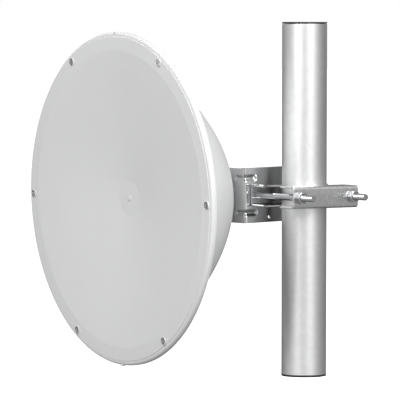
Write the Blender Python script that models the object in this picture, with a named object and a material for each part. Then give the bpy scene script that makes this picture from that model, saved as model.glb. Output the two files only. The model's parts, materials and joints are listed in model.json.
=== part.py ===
"""Parabolic dish antenna on a short length of mast.

Metres, +Z up. The origin is the middle of the mast's foot, the mast stands along +Z, and the dish
looks along -Y, a little below level. The mast stands still, the clamp turns round it, and the
bracket with the dish tilts on the clamp's front bolt.
"""

from math import cos, hypot, pi, radians, sin

import bmesh
import bpy
from mathutils import Matrix, Vector

GAP = 0.0003

# Mast: a steel tube with a push-in plug at each end
MAST_RADIUS = 0.027
MAST_WALL = 0.0029
MAST_LENGTH = 0.425
PLUG_LIP = 0.002
PLUG_SPIGOT = 0.018
PLUG_WALL = 0.003
CLAMP_HEIGHT = 0.2165

# Clamp: two pressed channels, drawn together by two long bolts
JAW_LENGTH = 0.095
JAW_HEIGHT = 0.0266
JAW_SHEET = 0.0025
JAW_CORNER = 0.004
JAW_FACE = 0.0445
JAW_TIP = 0.016
BOLT_RADIUS = 0.004
BOLT_SPREAD = 0.0385
BOLT_HOLE = 0.0044
BOLT_STICKS_OUT = 0.027
HEX_FLATS = 0.013
HEAD_HEIGHT = 0.0053
NUT_HEIGHT = 0.0065
WASHER_RADIUS = 0.008
WASHER_THICK = 0.0016

# Bracket: one bent plate with two darts pressed across its bend
PLATE = 0.003
PLATE_HEIGHT = 0.0666
PLATE_BEND = 0.005
SEAT_TO_PIVOT = 0.0183
PIVOT_TO_END = 0.096
FLANGE_PAST_AXIS = 0.036
TIGHTEST_BEND = 0.0005
DART_HEIGHT = 0.0211
DART_REACH = 0.0142
DART_HALF_WIDTH = 0.0050
DART_DEPTH = 0.0024
SLOT_SWING = radians(10)
SIGHT_HOLE = (0.0185, -0.027)
SIGHT_HOLE_RADIUS = 0.002

# Dish: a spun bowl on the axis of a flat rim, closed in front by a moulded cover
DISH_RADIUS = 0.200
DISH_TILT = radians(1.4)
DISH_OFFSET = 0.1203
DISH_DROP = 0.0003
BOWL_FOCUS = 0.060
BOWL_DEPTH = 0.1411
BOWL_SHEET = 0.002
RIM_BACK = 0.0066
RIM_RADIUS = 0.1976
SEAT_DEPTH = 0.1326
SEAT_HOLE = 0.0122
COVER_SHEET = 0.002
COVER_SHOULDER = 0.1785
COVER_BAND = 0.1945
COVER_STEP = 0.0007
COVER_ROUND = 0.0038
COVER_LAND = 0.0043
COVER_LAND_INNER = 0.1765
COVER_SKIRT = 0.0069
COVER_DISC = 0.0214
COVER_DISC_DEPTH = 0.0179
COVER_NUB = 0.0032
BOSS_RADIUS = 0.0050
BOSS_BORE = 0.0044
BOSS_HEIGHT = 0.0013
BOSS_FLOOR = 0.0006
SCREW_CIRCLE = 0.1893
SCREW_COUNT = 6
SCREW_HEAD = 0.0040
SCREW_HEAD_HEIGHT = 0.0014
SCREW_RADIUS = 0.002
SCREW_HOLE = 0.0024
SCREW_LENGTH = 0.011
DRAIN_RADIUS = 0.0024
DRAIN_HEIGHT = 0.0012
DRAIN_DEPTH = 0.0034
STUD_RADIUS = 0.003
STUD_PLACE = (0.026, 0.020)
STUD_HEAD = 0.0065
STUD_FLATS = 0.010
HUB_FLANGE = 0.017
HUB_NECK = 0.0118
HUB_BACK = 0.1441
SOCKET_THREAD = 0.0079
SOCKET_BORE = 0.0043
SOCKET_LENGTH = 0.017
SOCKET_FLATS = 0.018
PIN_RADIUS = 0.0015

FINE = 60
MEDIUM = 32
SMALL = 12


def remove_everything():
    for obj in list(bpy.data.objects):
        bpy.data.objects.remove(obj, do_unlink=True)


def material(name, colour, roughness, metallic=0.0):
    made = bpy.data.materials.new(name)
    made.use_nodes = True
    shader = made.node_tree.nodes["Principled BSDF"]
    shader.inputs["Base Color"].default_value = (*colour, 1.0)
    shader.inputs["Roughness"].default_value = roughness
    shader.inputs["Metallic"].default_value = metallic
    return made


def add_mesh(name, bm, finish, parent=None):
    """Turns a bmesh into a named object of one closed body, its faces pointing out."""
    bmesh.ops.remove_doubles(bm, verts=bm.verts, dist=1e-6)
    bmesh.ops.recalc_face_normals(bm, faces=bm.faces)
    mesh = bpy.data.meshes.new(name)
    bm.to_mesh(mesh)
    bm.free()
    mesh.shade_smooth()
    mesh.set_sharp_from_angle(angle=radians(30))
    obj = bpy.data.objects.new(name, mesh)
    bpy.context.collection.objects.link(obj)
    if finish is not None:
        mesh.materials.append(finish)
    obj.parent = parent
    return obj


def add_empty(name, place, turn=(0, 0, 0), parent=None):
    obj = bpy.data.objects.new(name, None)
    bpy.context.collection.objects.link(obj)
    obj.location = place
    obj.rotation_euler = turn
    obj.parent = parent
    return obj


def cut(obj, cutter, operation="DIFFERENCE"):
    """Cuts one hidden helper out of an object, or joins it on."""
    cutter.hide_render = True
    cutter.display_type = "WIRE"
    step = obj.modifiers.new(cutter.name, "BOOLEAN")
    step.operation = operation
    step.solver = "EXACT"
    step.object = cutter


def arc(centre, radius, start, stop, steps):
    """Points of a flat arc, from one angle to another, both ends included."""
    angles = [start + (stop - start) * i / steps for i in range(steps + 1)]
    return [(centre[0] + radius * cos(a), centre[1] + radius * sin(a)) for a in angles]


def lathe(name, profile, finish, steps=SMALL, parent=None):
    """Turns a closed outline of (radius, height) points about the Z axis."""
    bm = bmesh.new()
    verts = [bm.verts.new((radius, 0, height)) for radius, height in profile]
    on_axis = profile[0][0] == 0 and profile[-1][0] == 0
    pairs = list(zip(verts, verts[1:])) + ([] if on_axis else [(verts[-1], verts[0])])
    edges = [bm.edges.new(pair) for pair in pairs]
    bmesh.ops.spin(
        bm,
        geom=verts + edges,
        axis=(0, 0, 1),
        cent=(0, 0, 0),
        angle=2 * pi,
        steps=steps,
        use_merge=True,
    )
    return add_mesh(name, bm, finish, parent)


def hex_radius(flats, angle):
    """Distance from the middle of a hexagon to its edge, with a corner at angle 0."""
    return flats / 2 / cos((angle + pi / 6) % (pi / 3) - pi / 6)


def stacked(name, rings, finish, closed=False, parent=None):
    """Joins rings of (height, radius, is_hex) into one body, for bolts and nuts."""
    bm = bmesh.new()
    loops = []
    for height, radius, is_hex in rings:
        loop = []
        for i in range(SMALL):
            angle = 2 * pi * i / SMALL
            reach = hex_radius(2 * radius, angle) if is_hex else radius
            loop.append(bm.verts.new((reach * cos(angle), reach * sin(angle), height)))
        loops.append(loop)
    for low, high in zip(loops, loops[1:] + (loops[:1] if closed else [])):
        for i in range(SMALL):
            j = (i + 1) % SMALL
            bm.faces.new((low[i], low[j], high[j], high[i]))
    if not closed:
        bm.faces.new(loops[0])
        bm.faces.new(loops[-1])
    return add_mesh(name, bm, finish, parent)


def extruded(name, outline, low, high, finish, frame=None, parent=None):
    """Extrudes a flat outline from one height to another, then sets it in a frame."""
    bm = bmesh.new()
    face = bm.faces.new([bm.verts.new((x, y, low)) for x, y in outline])
    grown = bmesh.ops.extrude_face_region(bm, geom=[face])
    moved = [v for v in grown["geom"] if isinstance(v, bmesh.types.BMVert)]
    bmesh.ops.translate(bm, verts=moved, vec=(0, 0, high - low))
    if frame is not None:
        bmesh.ops.transform(bm, matrix=frame, verts=bm.verts)
    return add_mesh(name, bm, finish, parent)


def drills(name, holes, low, high, frame=None, parent=None, segments=SMALL):
    """A helper of separate round cutters (x, y, radius), drilled along the frame's Z axis.

    Each is turned by half a facet, so that no edge lies in the middle plane of what it cuts.
    """
    bm = bmesh.new()
    half_facet = Matrix.Rotation(pi / segments, 4, "Z")
    for x, y, radius in holes:
        place = Matrix.Translation((x, y, (low + high) / 2)) @ half_facet
        bmesh.ops.create_cone(
            bm,
            cap_ends=True,
            segments=segments,
            radius1=radius,
            radius2=radius,
            depth=high - low,
            matrix=place if frame is None else frame @ place,
        )
    return add_mesh(name, bm, None, parent)


def make_mast(steel, plastic):
    foot = PLUG_LIP + GAP
    top = MAST_LENGTH - foot
    bore = MAST_RADIUS - MAST_WALL
    wall = [(MAST_RADIUS, top), (MAST_RADIUS, foot), (bore, foot), (bore, top)]
    lathe("mast_tube", wall, steel, MEDIUM)
    spigot = bore - GAP
    hollow = spigot - PLUG_WALL
    plug = [
        (0, 0),
        (MAST_RADIUS, 0),
        (MAST_RADIUS, PLUG_LIP),
        (spigot, PLUG_LIP),
        (spigot, PLUG_LIP + PLUG_SPIGOT),
        (hollow, PLUG_LIP + PLUG_SPIGOT),
        (hollow, PLUG_LIP),
        (0, PLUG_LIP),
    ]
    lathe("mast_foot_plug", plug, plastic, MEDIUM)
    top_plug = lathe("mast_top_plug", plug, plastic, MEDIUM)
    top_plug.location = (0, 0, MAST_LENGTH)
    top_plug.rotation_euler = (pi, 0, 0)


def channel_outline():
    """Outline of a jaw's section: across the web as X, up as Y, its open side towards -X."""
    half = JAW_HEIGHT / 2
    inner = JAW_CORNER - JAW_SHEET
    bend_x = JAW_FACE - JAW_CORNER
    bend_y = half - JAW_CORNER
    points = [(JAW_TIP, -half)]
    points += arc((bend_x, -bend_y), JAW_CORNER, -pi / 2, 0, 4)
    points += arc((bend_x, bend_y), JAW_CORNER, 0, pi / 2, 4)
    points += [(JAW_TIP, half), (JAW_TIP, half - JAW_SHEET)]
    points += arc((bend_x, bend_y), inner, pi / 2, 0, 4)
    points += arc((bend_x, -bend_y), inner, 0, -pi / 2, 4)
    points += [(JAW_TIP, JAW_SHEET - half)]
    return points


def make_jaw(name, side, steel, clamp):
    """A channel with its web at JAW_FACE on one side of the mast, arched to sit on the tube."""
    across = Vector((side, 0, 0))
    upright = Vector((0, 0, 1))
    frame = Matrix((across, upright, across.cross(upright))).transposed().to_4x4()
    half = JAW_LENGTH / 2
    jaw = extruded(name, channel_outline(), -half, half, steel, frame, clamp)
    seat = [(0, 0, MAST_RADIUS + GAP)]
    height = JAW_HEIGHT
    cut(jaw, drills(name + "_seat_cutter", seat, -height, height, None, clamp, MEDIUM))
    along = Matrix.Rotation(pi / 2, 4, "Y")
    holes = [(0, y, BOLT_HOLE) for y in (-BOLT_SPREAD, BOLT_SPREAD)]
    low, high = sorted((side * JAW_TIP, side * (JAW_FACE + JAW_SHEET)))
    cut(jaw, drills(name + "_bolt_cutter", holes, low, high, along, clamp))


def make_clamp_hardware(zinc, clamp):
    """The bolts lie along +X, their heads behind the bracket and their nuts on the outer jaw."""
    seat = -JAW_FACE - GAP - PLATE - GAP
    tip = JAW_FACE + BOLT_STICKS_OUT
    for name, place in (("front", -BOLT_SPREAD), ("rear", BOLT_SPREAD)):
        under_head = seat - WASHER_THICK - GAP
        head = under_head - HEAD_HEIGHT
        flats = HEX_FLATS / 2
        bevel = 0.0008
        bolt = [
            (head, flats - bevel, False),
            (head + bevel, flats, True),
            (under_head, flats, True),
            (under_head, BOLT_RADIUS, False),
            (tip - bevel, BOLT_RADIUS, False),
            (tip, BOLT_RADIUS - bevel, False),
        ]
        nut_low = JAW_FACE + GAP
        nut_high = nut_low + NUT_HEIGHT
        bore = BOLT_RADIUS + GAP
        nut = [
            (nut_low, bore, False),
            (nut_low, flats - bevel, False),
            (nut_low + bevel, flats, True),
            (nut_high - bevel, flats, True),
            (nut_high, flats - bevel, False),
            (nut_high, bore, False),
        ]
        washer = [
            (WASHER_RADIUS, seat),
            (WASHER_RADIUS, seat - WASHER_THICK),
            (bore, seat - WASHER_THICK),
            (bore, seat),
        ]
        for obj in (
            stacked("clamp_bolt_" + name, bolt, zinc, parent=clamp),
            stacked("clamp_nut_" + name, nut, zinc, closed=True, parent=clamp),
            lathe("clamp_washer_" + name, washer, zinc, parent=clamp),
        ):
            obj.location = (0, place, 0)
            obj.rotation_euler = (0, pi / 2, 0)


def dart_depth(along, height):
    """How deep the plate is pressed in there: a groove round the bend, with round ends.

    The depth falls off by a cosine on both sides of the dart's middle line. Along is measured on
    the plate's outside, from the middle of the bend.
    """
    past_end = max(abs(along) - DART_REACH, 0)
    away = hypot(past_end, abs(height) - DART_HEIGHT)
    return DART_DEPTH * (1 + cos(pi * min(away / DART_HALF_WIDTH, 1))) / 2


def flat_lengths():
    """Lengths of the flange and of the web, each from where the bend ends."""
    flange = DISH_OFFSET + FLANGE_PAST_AXIS - JAW_FACE - GAP - PLATE_BEND
    web = PIVOT_TO_END + SEAT_TO_PIVOT - PLATE_BEND
    return flange, web


def skin_point(turn, flat, inset, height):
    """A point of one skin of the plate: round the bend, or on along a flat.

    The turn goes from 0 on the flange to a right angle on the web. Flat is negative on the flange.
    The bend's radius shrinks by the dart's depth. Where it would be less than TIGHTEST_BEND, the
    bend's centre moves inwards instead, and the flats get shorter by as much.
    """
    depth = dart_depth(PLATE_BEND * (turn - pi / 4) + flat, height)
    radius = PLATE_BEND - inset - depth
    shift = max(TIGHTEST_BEND - radius, 0)
    radius = max(radius, TIGHTEST_BEND)
    flange, web = flat_lengths()
    on_flange = max(-flat, 0) * (1 - shift / flange)
    on_web = max(flat, 0) * (1 - shift / web)
    x = -JAW_FACE - GAP - PLATE_BEND - shift + radius * sin(turn) - on_flange
    y = -SEAT_TO_PIVOT + PLATE_BEND + shift - radius * cos(turn) + on_web
    return x, y, height


def make_plate(name, finish, parent):
    """The bent plate with its darts: an outer and an inner skin, joined round the border."""
    flange, web = flat_lengths()
    straight = DART_REACH - PLATE_BEND * pi / 4
    steps = [straight * i / 4 for i in range(1, 5)]
    steps += [straight + DART_HALF_WIDTH * i / 4 for i in range(1, 5)]
    rows = [(0, -flange)] + [(0, -step) for step in steps[::-1]]
    rows += [(pi / 2 * i / 6, 0) for i in range(7)]
    rows += [(pi / 2, step) for step in steps] + [(pi / 2, web)]
    offsets = [DART_HALF_WIDTH * i / 4 for i in range(-4, 5)]
    upper = [DART_HEIGHT + offset for offset in offsets] + [PLATE_HEIGHT / 2]
    heights = [-height for height in upper[::-1]] + upper
    bm = bmesh.new()
    skins = []
    for inset in (0, PLATE):
        skin = [[bm.verts.new(skin_point(*row, inset, height)) for height in heights] for row in rows]
        skins.append(skin)
        for near, far in zip(skin, skin[1:]):
            for i in range(len(heights) - 1):
                bm.faces.new((near[i], near[i + 1], far[i + 1], far[i]))
    borders = []
    for skin in skins:
        last_column = [row[-1] for row in skin[1:-1]]
        first_column = [row[0] for row in skin[1:-1]]
        borders.append(skin[0] + last_column + skin[-1][::-1] + first_column[::-1])
    outer, inner = borders
    for i in range(len(outer)):
        j = (i + 1) % len(outer)
        bm.faces.new((outer[i], outer[j], inner[j], inner[i]))
    bmesh.ops.triangulate(bm, faces=bm.faces)
    return add_mesh(name, bm, finish, parent)


def make_bracket(steel, tilt):
    bracket = make_plate("mount_bracket", steel, tilt)
    to_web = Matrix.Rotation(pi / 2, 4, "Y")
    holes = [(0, 0, BOLT_HOLE), (-SIGHT_HOLE[1], SIGHT_HOLE[0], SIGHT_HOLE_RADIUS)]
    low = -JAW_FACE - 2 * PLATE
    cut(bracket, drills("web_cutter", holes, low, low + 3 * PLATE, to_web, tilt))
    swing = 2 * BOLT_SPREAD
    turns = [SLOT_SWING * i / 4 for i in range(-4, 5)]
    top = (-swing * sin(SLOT_SWING), swing * cos(SLOT_SWING))
    bottom = (-top[0], top[1])
    outline = [(-(swing + BOLT_HOLE) * sin(a), (swing + BOLT_HOLE) * cos(a)) for a in turns]
    outline += slot_end(top, SLOT_SWING, 1)[1:-1]
    outline += [(-(swing - BOLT_HOLE) * sin(a), (swing - BOLT_HOLE) * cos(a)) for a in turns[::-1]]
    outline += slot_end(bottom, -SLOT_SWING, -1)[-2:0:-1]
    slot = extruded("slot_cutter", outline, low, low + 3 * PLATE, None, to_web, tilt)
    cut(bracket, slot)
    to_flange = Matrix.Rotation(-pi / 2, 4, "X")
    low = -SEAT_TO_PIVOT - PLATE
    high = low + 3 * PLATE
    holes = [(-DISH_OFFSET, DISH_DROP, SEAT_HOLE)]
    cut(bracket, drills("hub_cutter", holes, low, high, to_flange, tilt, MEDIUM))
    holes = [(x - DISH_OFFSET, z + DISH_DROP, STUD_RADIUS + GAP) for x, z in stud_places()]
    cut(bracket, drills("flange_cutter", holes, low, high, to_flange, tilt))


def slot_end(centre, swing, side):
    """The half circle that closes the slot at one end, from its outer to its inner side."""
    start = pi / 2 + swing
    return arc(centre, BOLT_HOLE, start, start + side * pi, 8)


def stud_places():
    across, up = STUD_PLACE
    return [(across, up), (-across, up), (-across, -up), (across, -up)]


def bowl_depth(radius):
    return BOWL_DEPTH - radius**2 / (4 * BOWL_FOCUS)


def bowl_radius(depth):
    return (4 * BOWL_FOCUS * (BOWL_DEPTH - depth)) ** 0.5


def bowl_profile():
    """The bowl's section: its back from the seat to the rim, then its front the same way back."""
    steps = 9
    seat = bowl_radius(SEAT_DEPTH)
    mouth = bowl_radius(RIM_BACK)
    back = [(r, bowl_depth(r)) for r in (seat + (mouth - seat) * i / steps for i in range(steps + 1))]
    front = []
    for (r0, z0), (r, z), (r1, z1) in zip(back, back[1:], back[2:]):
        length = hypot(r1 - r0, z1 - z0)
        front.append((r - BOWL_SHEET * (z0 - z1) / length, z - BOWL_SHEET * (r1 - r0) / length))
    rim_front = RIM_BACK - BOWL_SHEET
    seat_front = SEAT_DEPTH - BOWL_SHEET
    lip = [(RIM_RADIUS, RIM_BACK), (RIM_RADIUS, rim_front), (mouth - BOWL_SHEET, rim_front)]
    floor = [(seat - BOWL_SHEET, seat_front), (SEAT_HOLE, seat_front), (SEAT_HOLE, SEAT_DEPTH)]
    return back + lip + front[::-1] + floor


def screw_places(radius):
    """Centres of the cover's screws, each with the radius of a hole or boss there."""
    turns = [2 * pi * i / SCREW_COUNT for i in range(SCREW_COUNT)]
    return [(SCREW_CIRCLE * cos(turn), SCREW_CIRCLE * sin(turn), radius) for turn in turns]


def make_bowl(paint, axis):
    bowl = lathe("reflector_dish", bowl_profile(), paint, FINE, axis)
    holes = [(x, z, STUD_RADIUS + GAP) for x, z in stud_places()]
    low = SEAT_DEPTH - 3 * BOWL_SHEET
    cut(bowl, drills("seat_cutter", holes, low, low + 5 * BOWL_SHEET, parent=axis))
    holes = screw_places(SCREW_HOLE)
    cut(bowl, drills("rim_cutter", holes, -SCREW_LENGTH, SCREW_LENGTH, parent=axis))


def cover_profile():
    """The cover's section: nub, disc, hollow cone, flat band, step, round edge, then inside."""
    side = (DISH_RADIUS - COVER_ROUND, COVER_STEP + COVER_ROUND)
    inside = DISH_RADIUS - COVER_SHEET
    nub_top = COVER_DISC_DEPTH - COVER_NUB / 2
    step = COVER_LAND - COVER_SHEET
    front = [(0, nub_top), (COVER_NUB * 0.7, nub_top + COVER_NUB / 8)]
    front += [(COVER_NUB, COVER_DISC_DEPTH), (COVER_DISC, COVER_DISC_DEPTH), (COVER_SHOULDER, 0)]
    front += [(COVER_BAND, 0), (COVER_BAND + COVER_STEP / 2, COVER_STEP)]
    front += arc(side, COVER_ROUND, -pi / 2, 0, 4)
    back = [(DISH_RADIUS, COVER_SKIRT), (inside, COVER_SKIRT), (inside, COVER_LAND)]
    back += [(COVER_LAND_INNER, COVER_LAND), (COVER_LAND_INNER - step, COVER_SHEET + GAP)]
    back += [(COVER_DISC, COVER_DISC_DEPTH + COVER_SHEET), (0, COVER_DISC_DEPTH + COVER_SHEET)]
    return front + back


def make_cover(plastic, axis):
    cover = lathe("radome_cover", cover_profile(), plastic, FINE, axis)
    places = screw_places(BOSS_RADIUS)
    bosses = drills("boss_joiner", places, -BOSS_HEIGHT, COVER_SHEET / 2, parent=axis)
    cut(cover, bosses, "UNION")
    places = screw_places(BOSS_BORE)
    cut(cover, drills("boss_cutter", places, -2 * BOSS_HEIGHT, BOSS_FLOOR, parent=axis))
    places = screw_places(SCREW_HOLE)
    cut(cover, drills("cover_cutter", places, -SCREW_LENGTH, SCREW_LENGTH, parent=axis))
    low = drain_plug_foot() - GAP
    high = DISH_RADIUS + COVER_SHEET
    for side, label in ((1, "top"), (-1, "bottom")):
        frame = Matrix.Rotation(side * pi / 2, 4, "X")
        hole = [(0, side * DRAIN_DEPTH, DRAIN_RADIUS + GAP)]
        cut(cover, drills("drain_cutter_" + label, hole, low, high, frame, axis))


def make_cover_screws(steel, axis):
    """Pan-head screws sit in the cover's bosses and end behind the dish's rim."""
    seat = BOSS_FLOOR - GAP
    crown = seat - SCREW_HEAD_HEIGHT
    recess = 0.0015
    profile = [
        (0, crown + 0.0008),
        (recess, crown + 0.0008),
        (recess + 0.0004, crown),
        (SCREW_HEAD * 0.75, crown + 0.0001),
        (SCREW_HEAD, crown + 0.0006),
        (SCREW_HEAD, seat),
        (SCREW_RADIUS, seat),
        (SCREW_RADIUS, SCREW_LENGTH - 0.001),
        (SCREW_RADIUS / 2, SCREW_LENGTH),
        (0, SCREW_LENGTH),
    ]
    for i, (x, y, _) in enumerate(screw_places(SCREW_RADIUS), 1):
        screw = lathe(f"cover_screw_{i}", profile, steel, SMALL, axis)
        screw.location = (x, y, 0)


def drain_plug_foot():
    """The plugs end just inside the cover's skirt, clear of the dish's rim."""
    return DISH_RADIUS - COVER_SHEET + GAP / 3


def make_drain_plugs(plastic, axis):
    foot = drain_plug_foot()
    top = DISH_RADIUS + DRAIN_HEIGHT
    profile = [
        (0, foot),
        (DRAIN_RADIUS, foot),
        (DRAIN_RADIUS, top - DRAIN_HEIGHT / 3),
        (DRAIN_RADIUS - DRAIN_HEIGHT / 3, top),
        (0, top),
    ]
    for name, turn in (("drain_plug_top", pi / 2), ("drain_plug_bottom", -pi / 2)):
        plug = lathe(name, profile, plastic, SMALL, axis)
        plug.location = (0, 0, DRAIN_DEPTH)
        plug.rotation_euler = (turn, 0, 0)


def make_seat_studs(zinc, axis):
    """Bolts stand out of the dish's seat, through the bracket's flange, and take its nuts."""
    inner_face = SEAT_DEPTH - BOWL_SHEET - GAP
    flange_back = SEAT_DEPTH + GAP + PLATE
    tip = flange_back + 0.0085
    bolt = [
        (0, inner_face - 0.003),
        (STUD_HEAD * 0.5, inner_face - 0.0028),
        (STUD_HEAD, inner_face - 0.001),
        (STUD_HEAD, inner_face),
        (STUD_RADIUS, inner_face),
        (STUD_RADIUS, tip - 0.0006),
        (STUD_RADIUS - 0.0006, tip),
        (0, tip),
    ]
    low = flange_back + GAP
    high = low + 0.005
    flats = STUD_FLATS / 2
    bore = STUD_RADIUS + GAP
    nut = [
        (low, bore, False),
        (low, flats, True),
        (high - 0.0006, flats, True),
        (high, flats - 0.0006, False),
        (high, bore, False),
    ]
    for i, (x, z) in enumerate(stud_places(), 1):
        stud = lathe(f"seat_bolt_{i}", bolt, zinc, SMALL, axis)
        stud.location = (x, z, 0)
        nut_obj = stacked(f"seat_nut_{i}", nut, zinc, closed=True, parent=axis)
        nut_obj.location = (x, z, 0)


def make_feed(aluminium, brass, axis):
    """The feed's hub fills the seat's hole and carries the cable socket at the back."""
    inner_face = SEAT_DEPTH - BOWL_SHEET - GAP
    hub = [
        (0, inner_face - 0.003),
        (HUB_FLANGE, inner_face - 0.003),
        (HUB_FLANGE, inner_face),
        (HUB_NECK, inner_face),
        (HUB_NECK, HUB_BACK - 0.001),
        (HUB_NECK - 0.001, HUB_BACK),
        (0, HUB_BACK),
    ]
    lathe("feed_hub", hub, aluminium, MEDIUM, axis)
    base = HUB_BACK + GAP
    nose = base + SOCKET_LENGTH
    flats = SOCKET_FLATS / 2
    socket = [
        (base, 0.005, False),
        (base, flats, True),
        (base + 0.003, flats, True),
        (base + 0.003, SOCKET_THREAD, False),
        (nose - 0.0006, SOCKET_THREAD, False),
        (nose, SOCKET_THREAD - 0.0006, False),
        (nose, SOCKET_BORE, False),
        (base + 0.006, SOCKET_BORE, False),
        (base + 0.006, PIN_RADIUS + GAP, False),
        (base + 0.001, PIN_RADIUS + GAP, False),
    ]
    stacked("feed_socket", socket, brass, closed=False, parent=axis)
    pin = [(0, base + 0.0015), (PIN_RADIUS, base + 0.0015), (PIN_RADIUS, nose - 0.003)]
    lathe("feed_pin", pin + [(0, nose - 0.003)], brass, SMALL, axis)


def main():
    remove_everything()
    galvanised = material("galvanised steel", (0.62, 0.63, 0.64), 0.45, 0.8)
    zinc = material("zinc plated steel", (0.72, 0.73, 0.74), 0.25, 1.0)
    plate_steel = material("bent steel plate", (0.46, 0.46, 0.46), 0.40, 0.9)
    paint = material("painted aluminium", (0.70, 0.71, 0.71), 0.45)
    cover_plastic = material("cover plastic", (0.78, 0.79, 0.79), 0.50)
    black_plastic = material("black plastic", (0.03, 0.03, 0.03), 0.60)
    screw_steel = material("stainless steel", (0.55, 0.55, 0.55), 0.30, 1.0)
    brass = material("plated brass", (0.70, 0.66, 0.52), 0.30, 1.0)
    raw_aluminium = material("turned aluminium", (0.75, 0.75, 0.76), 0.35, 1.0)

    make_mast(galvanised, black_plastic)
    clamp = add_empty("clamp_centre", (0, 0, CLAMP_HEIGHT))
    make_jaw("jaw_outer", 1, plate_steel, clamp)
    make_jaw("jaw_inner", -1, plate_steel, clamp)
    make_clamp_hardware(zinc, clamp)
    tilt = add_empty("tilt_pivot", (0, -BOLT_SPREAD, 0), (DISH_TILT, 0, 0), clamp)
    make_bracket(plate_steel, tilt)
    rim_to_pivot = SEAT_TO_PIVOT + GAP + SEAT_DEPTH
    place = (-DISH_OFFSET, -rim_to_pivot, -DISH_DROP)
    axis = add_empty("dish_axis", place, (-pi / 2, 0, 0), tilt)
    make_bowl(paint, axis)
    make_cover(cover_plastic, axis)
    make_cover_screws(screw_steel, axis)
    make_drain_plugs(cover_plastic, axis)
    make_seat_studs(zinc, axis)
    make_feed(raw_aluminium, brass, axis)


main()
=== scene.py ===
# %% [markdown]
# # The looks of a small dish antenna on its mast
#
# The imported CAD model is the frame: it says where every piece is. This script works each piece out
# again as a fine surface with numpy, in the same place, and gives it a finish made of shader nodes.
# The camera stands where the photograph was taken, in the light of a white studio.

# %% Load the CAD frame
import json
from math import cos, pi, radians, sin, sqrt, tan

import bmesh
import bpy
import numpy as np
from mathutils import Matrix, Vector


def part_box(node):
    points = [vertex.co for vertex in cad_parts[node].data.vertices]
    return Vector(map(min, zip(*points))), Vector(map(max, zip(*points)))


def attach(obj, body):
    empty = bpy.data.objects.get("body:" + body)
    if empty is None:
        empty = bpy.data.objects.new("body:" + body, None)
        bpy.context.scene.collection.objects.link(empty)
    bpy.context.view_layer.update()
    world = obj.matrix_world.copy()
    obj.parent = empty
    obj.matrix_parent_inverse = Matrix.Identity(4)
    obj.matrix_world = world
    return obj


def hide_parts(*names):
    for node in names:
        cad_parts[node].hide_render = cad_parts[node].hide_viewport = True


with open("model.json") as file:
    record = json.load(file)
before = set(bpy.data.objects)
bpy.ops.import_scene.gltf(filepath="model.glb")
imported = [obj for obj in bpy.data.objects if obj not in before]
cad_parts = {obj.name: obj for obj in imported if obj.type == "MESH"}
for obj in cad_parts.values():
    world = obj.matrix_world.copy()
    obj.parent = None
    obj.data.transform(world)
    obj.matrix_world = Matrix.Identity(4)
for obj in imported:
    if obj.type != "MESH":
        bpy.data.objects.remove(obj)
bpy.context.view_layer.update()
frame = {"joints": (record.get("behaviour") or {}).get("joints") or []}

# %% [markdown]
# ## Where things are
#
# The clamp turns round the mast, and the bracket tilts on the clamp's front bolt. The places of
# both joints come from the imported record. Everything on the bracket leans by the dish's tilt about
# that bolt, so one matrix takes a piece drawn square to the dish to its real place.

# %% The clamp's height, the tilt bolt and the dish's axis
joints = {joint["name"]: joint for joint in frame["joints"]}
CLAMP_HEIGHT = joints["azimuth_turn"]["pos_m"][2]
BOLT_SPREAD = -joints["elevation_tilt"]["pos_m"][1]
DISH_TILT = radians(1.4)
DISH_OFFSET = 0.1203
DISH_DROP = 0.0003
SEAT_TO_PIVOT = 0.0183
SEAT_DEPTH = 0.1326
GAP = 0.0003

clamp_place = Matrix.Translation((0, 0, CLAMP_HEIGHT))
pivot = Vector((0, -BOLT_SPREAD, CLAMP_HEIGHT))
antenna_place = Matrix.Translation(pivot) @ Matrix.Rotation(DISH_TILT, 4, "X")
rim_place = Matrix.Translation((-DISH_OFFSET, -SEAT_TO_PIVOT - GAP - SEAT_DEPTH, -DISH_DROP))
dish_place = antenna_place @ rim_place @ Matrix.Rotation(-pi / 2, 4, "X")
print("rim centre", np.round(dish_place.translation, 4))

# %% [markdown]
# ## The camera
#
# The rim's ellipse, the cover's screws and the mast's edges in the photograph give the camera's
# direction and distance. It looks a little down, from the antenna's right, through a long lens. The
# view is built from three directions. The lens is the focal length in pixels over the width.

# %% Stand the camera where the photograph was taken
PICTURE_PX = 400
FOCAL_PX = 3428
CAMERA_TURN = radians(55.51)
CAMERA_DIP = radians(2.64)
CAMERA_ROLL = radians(-0.08)
CAMERA_REACH = 4.11
AIM_RIGHT = 0.0976
AIM_DOWN = 0.00095
AIM_DEPTH = 0.0021
SENSOR_MM = 36
FAR_CLIP = 50


def link_object(name, data):
    """A new object for a mesh, a camera or a lamp, in the scene."""
    new = bpy.data.objects.new(name, data)
    bpy.context.collection.objects.link(new)
    return new


right = Vector((cos(CAMERA_TURN), sin(CAMERA_TURN), 0))
level = Vector((-sin(CAMERA_TURN), cos(CAMERA_TURN), 0))
ahead = level * cos(CAMERA_DIP) - Vector((0, 0, sin(CAMERA_DIP)))
up = right.cross(ahead)
aim = dish_place @ Vector((0, 0, AIM_DEPTH))
camera_position = aim - ahead * CAMERA_REACH + right * AIM_RIGHT - up * AIM_DOWN
rolled_right = right * cos(CAMERA_ROLL) - up * sin(CAMERA_ROLL)
rolled_up = right * sin(CAMERA_ROLL) + up * cos(CAMERA_ROLL)
lens = bpy.data.cameras.new("photo_camera")
lens.sensor_width = SENSOR_MM
lens.lens = FOCAL_PX / PICTURE_PX * SENSOR_MM
lens.clip_end = FAR_CLIP
camera = link_object("photo_camera", lens)
facing = Matrix((rolled_right, rolled_up, -ahead)).transposed()
camera.matrix_world = Matrix.LocRotScale(camera_position, facing.to_quaternion(), None)
bpy.context.scene.camera = camera
print("camera at", np.round(camera_position, 3), "lens", round(lens.lens, 1), "mm")

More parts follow.
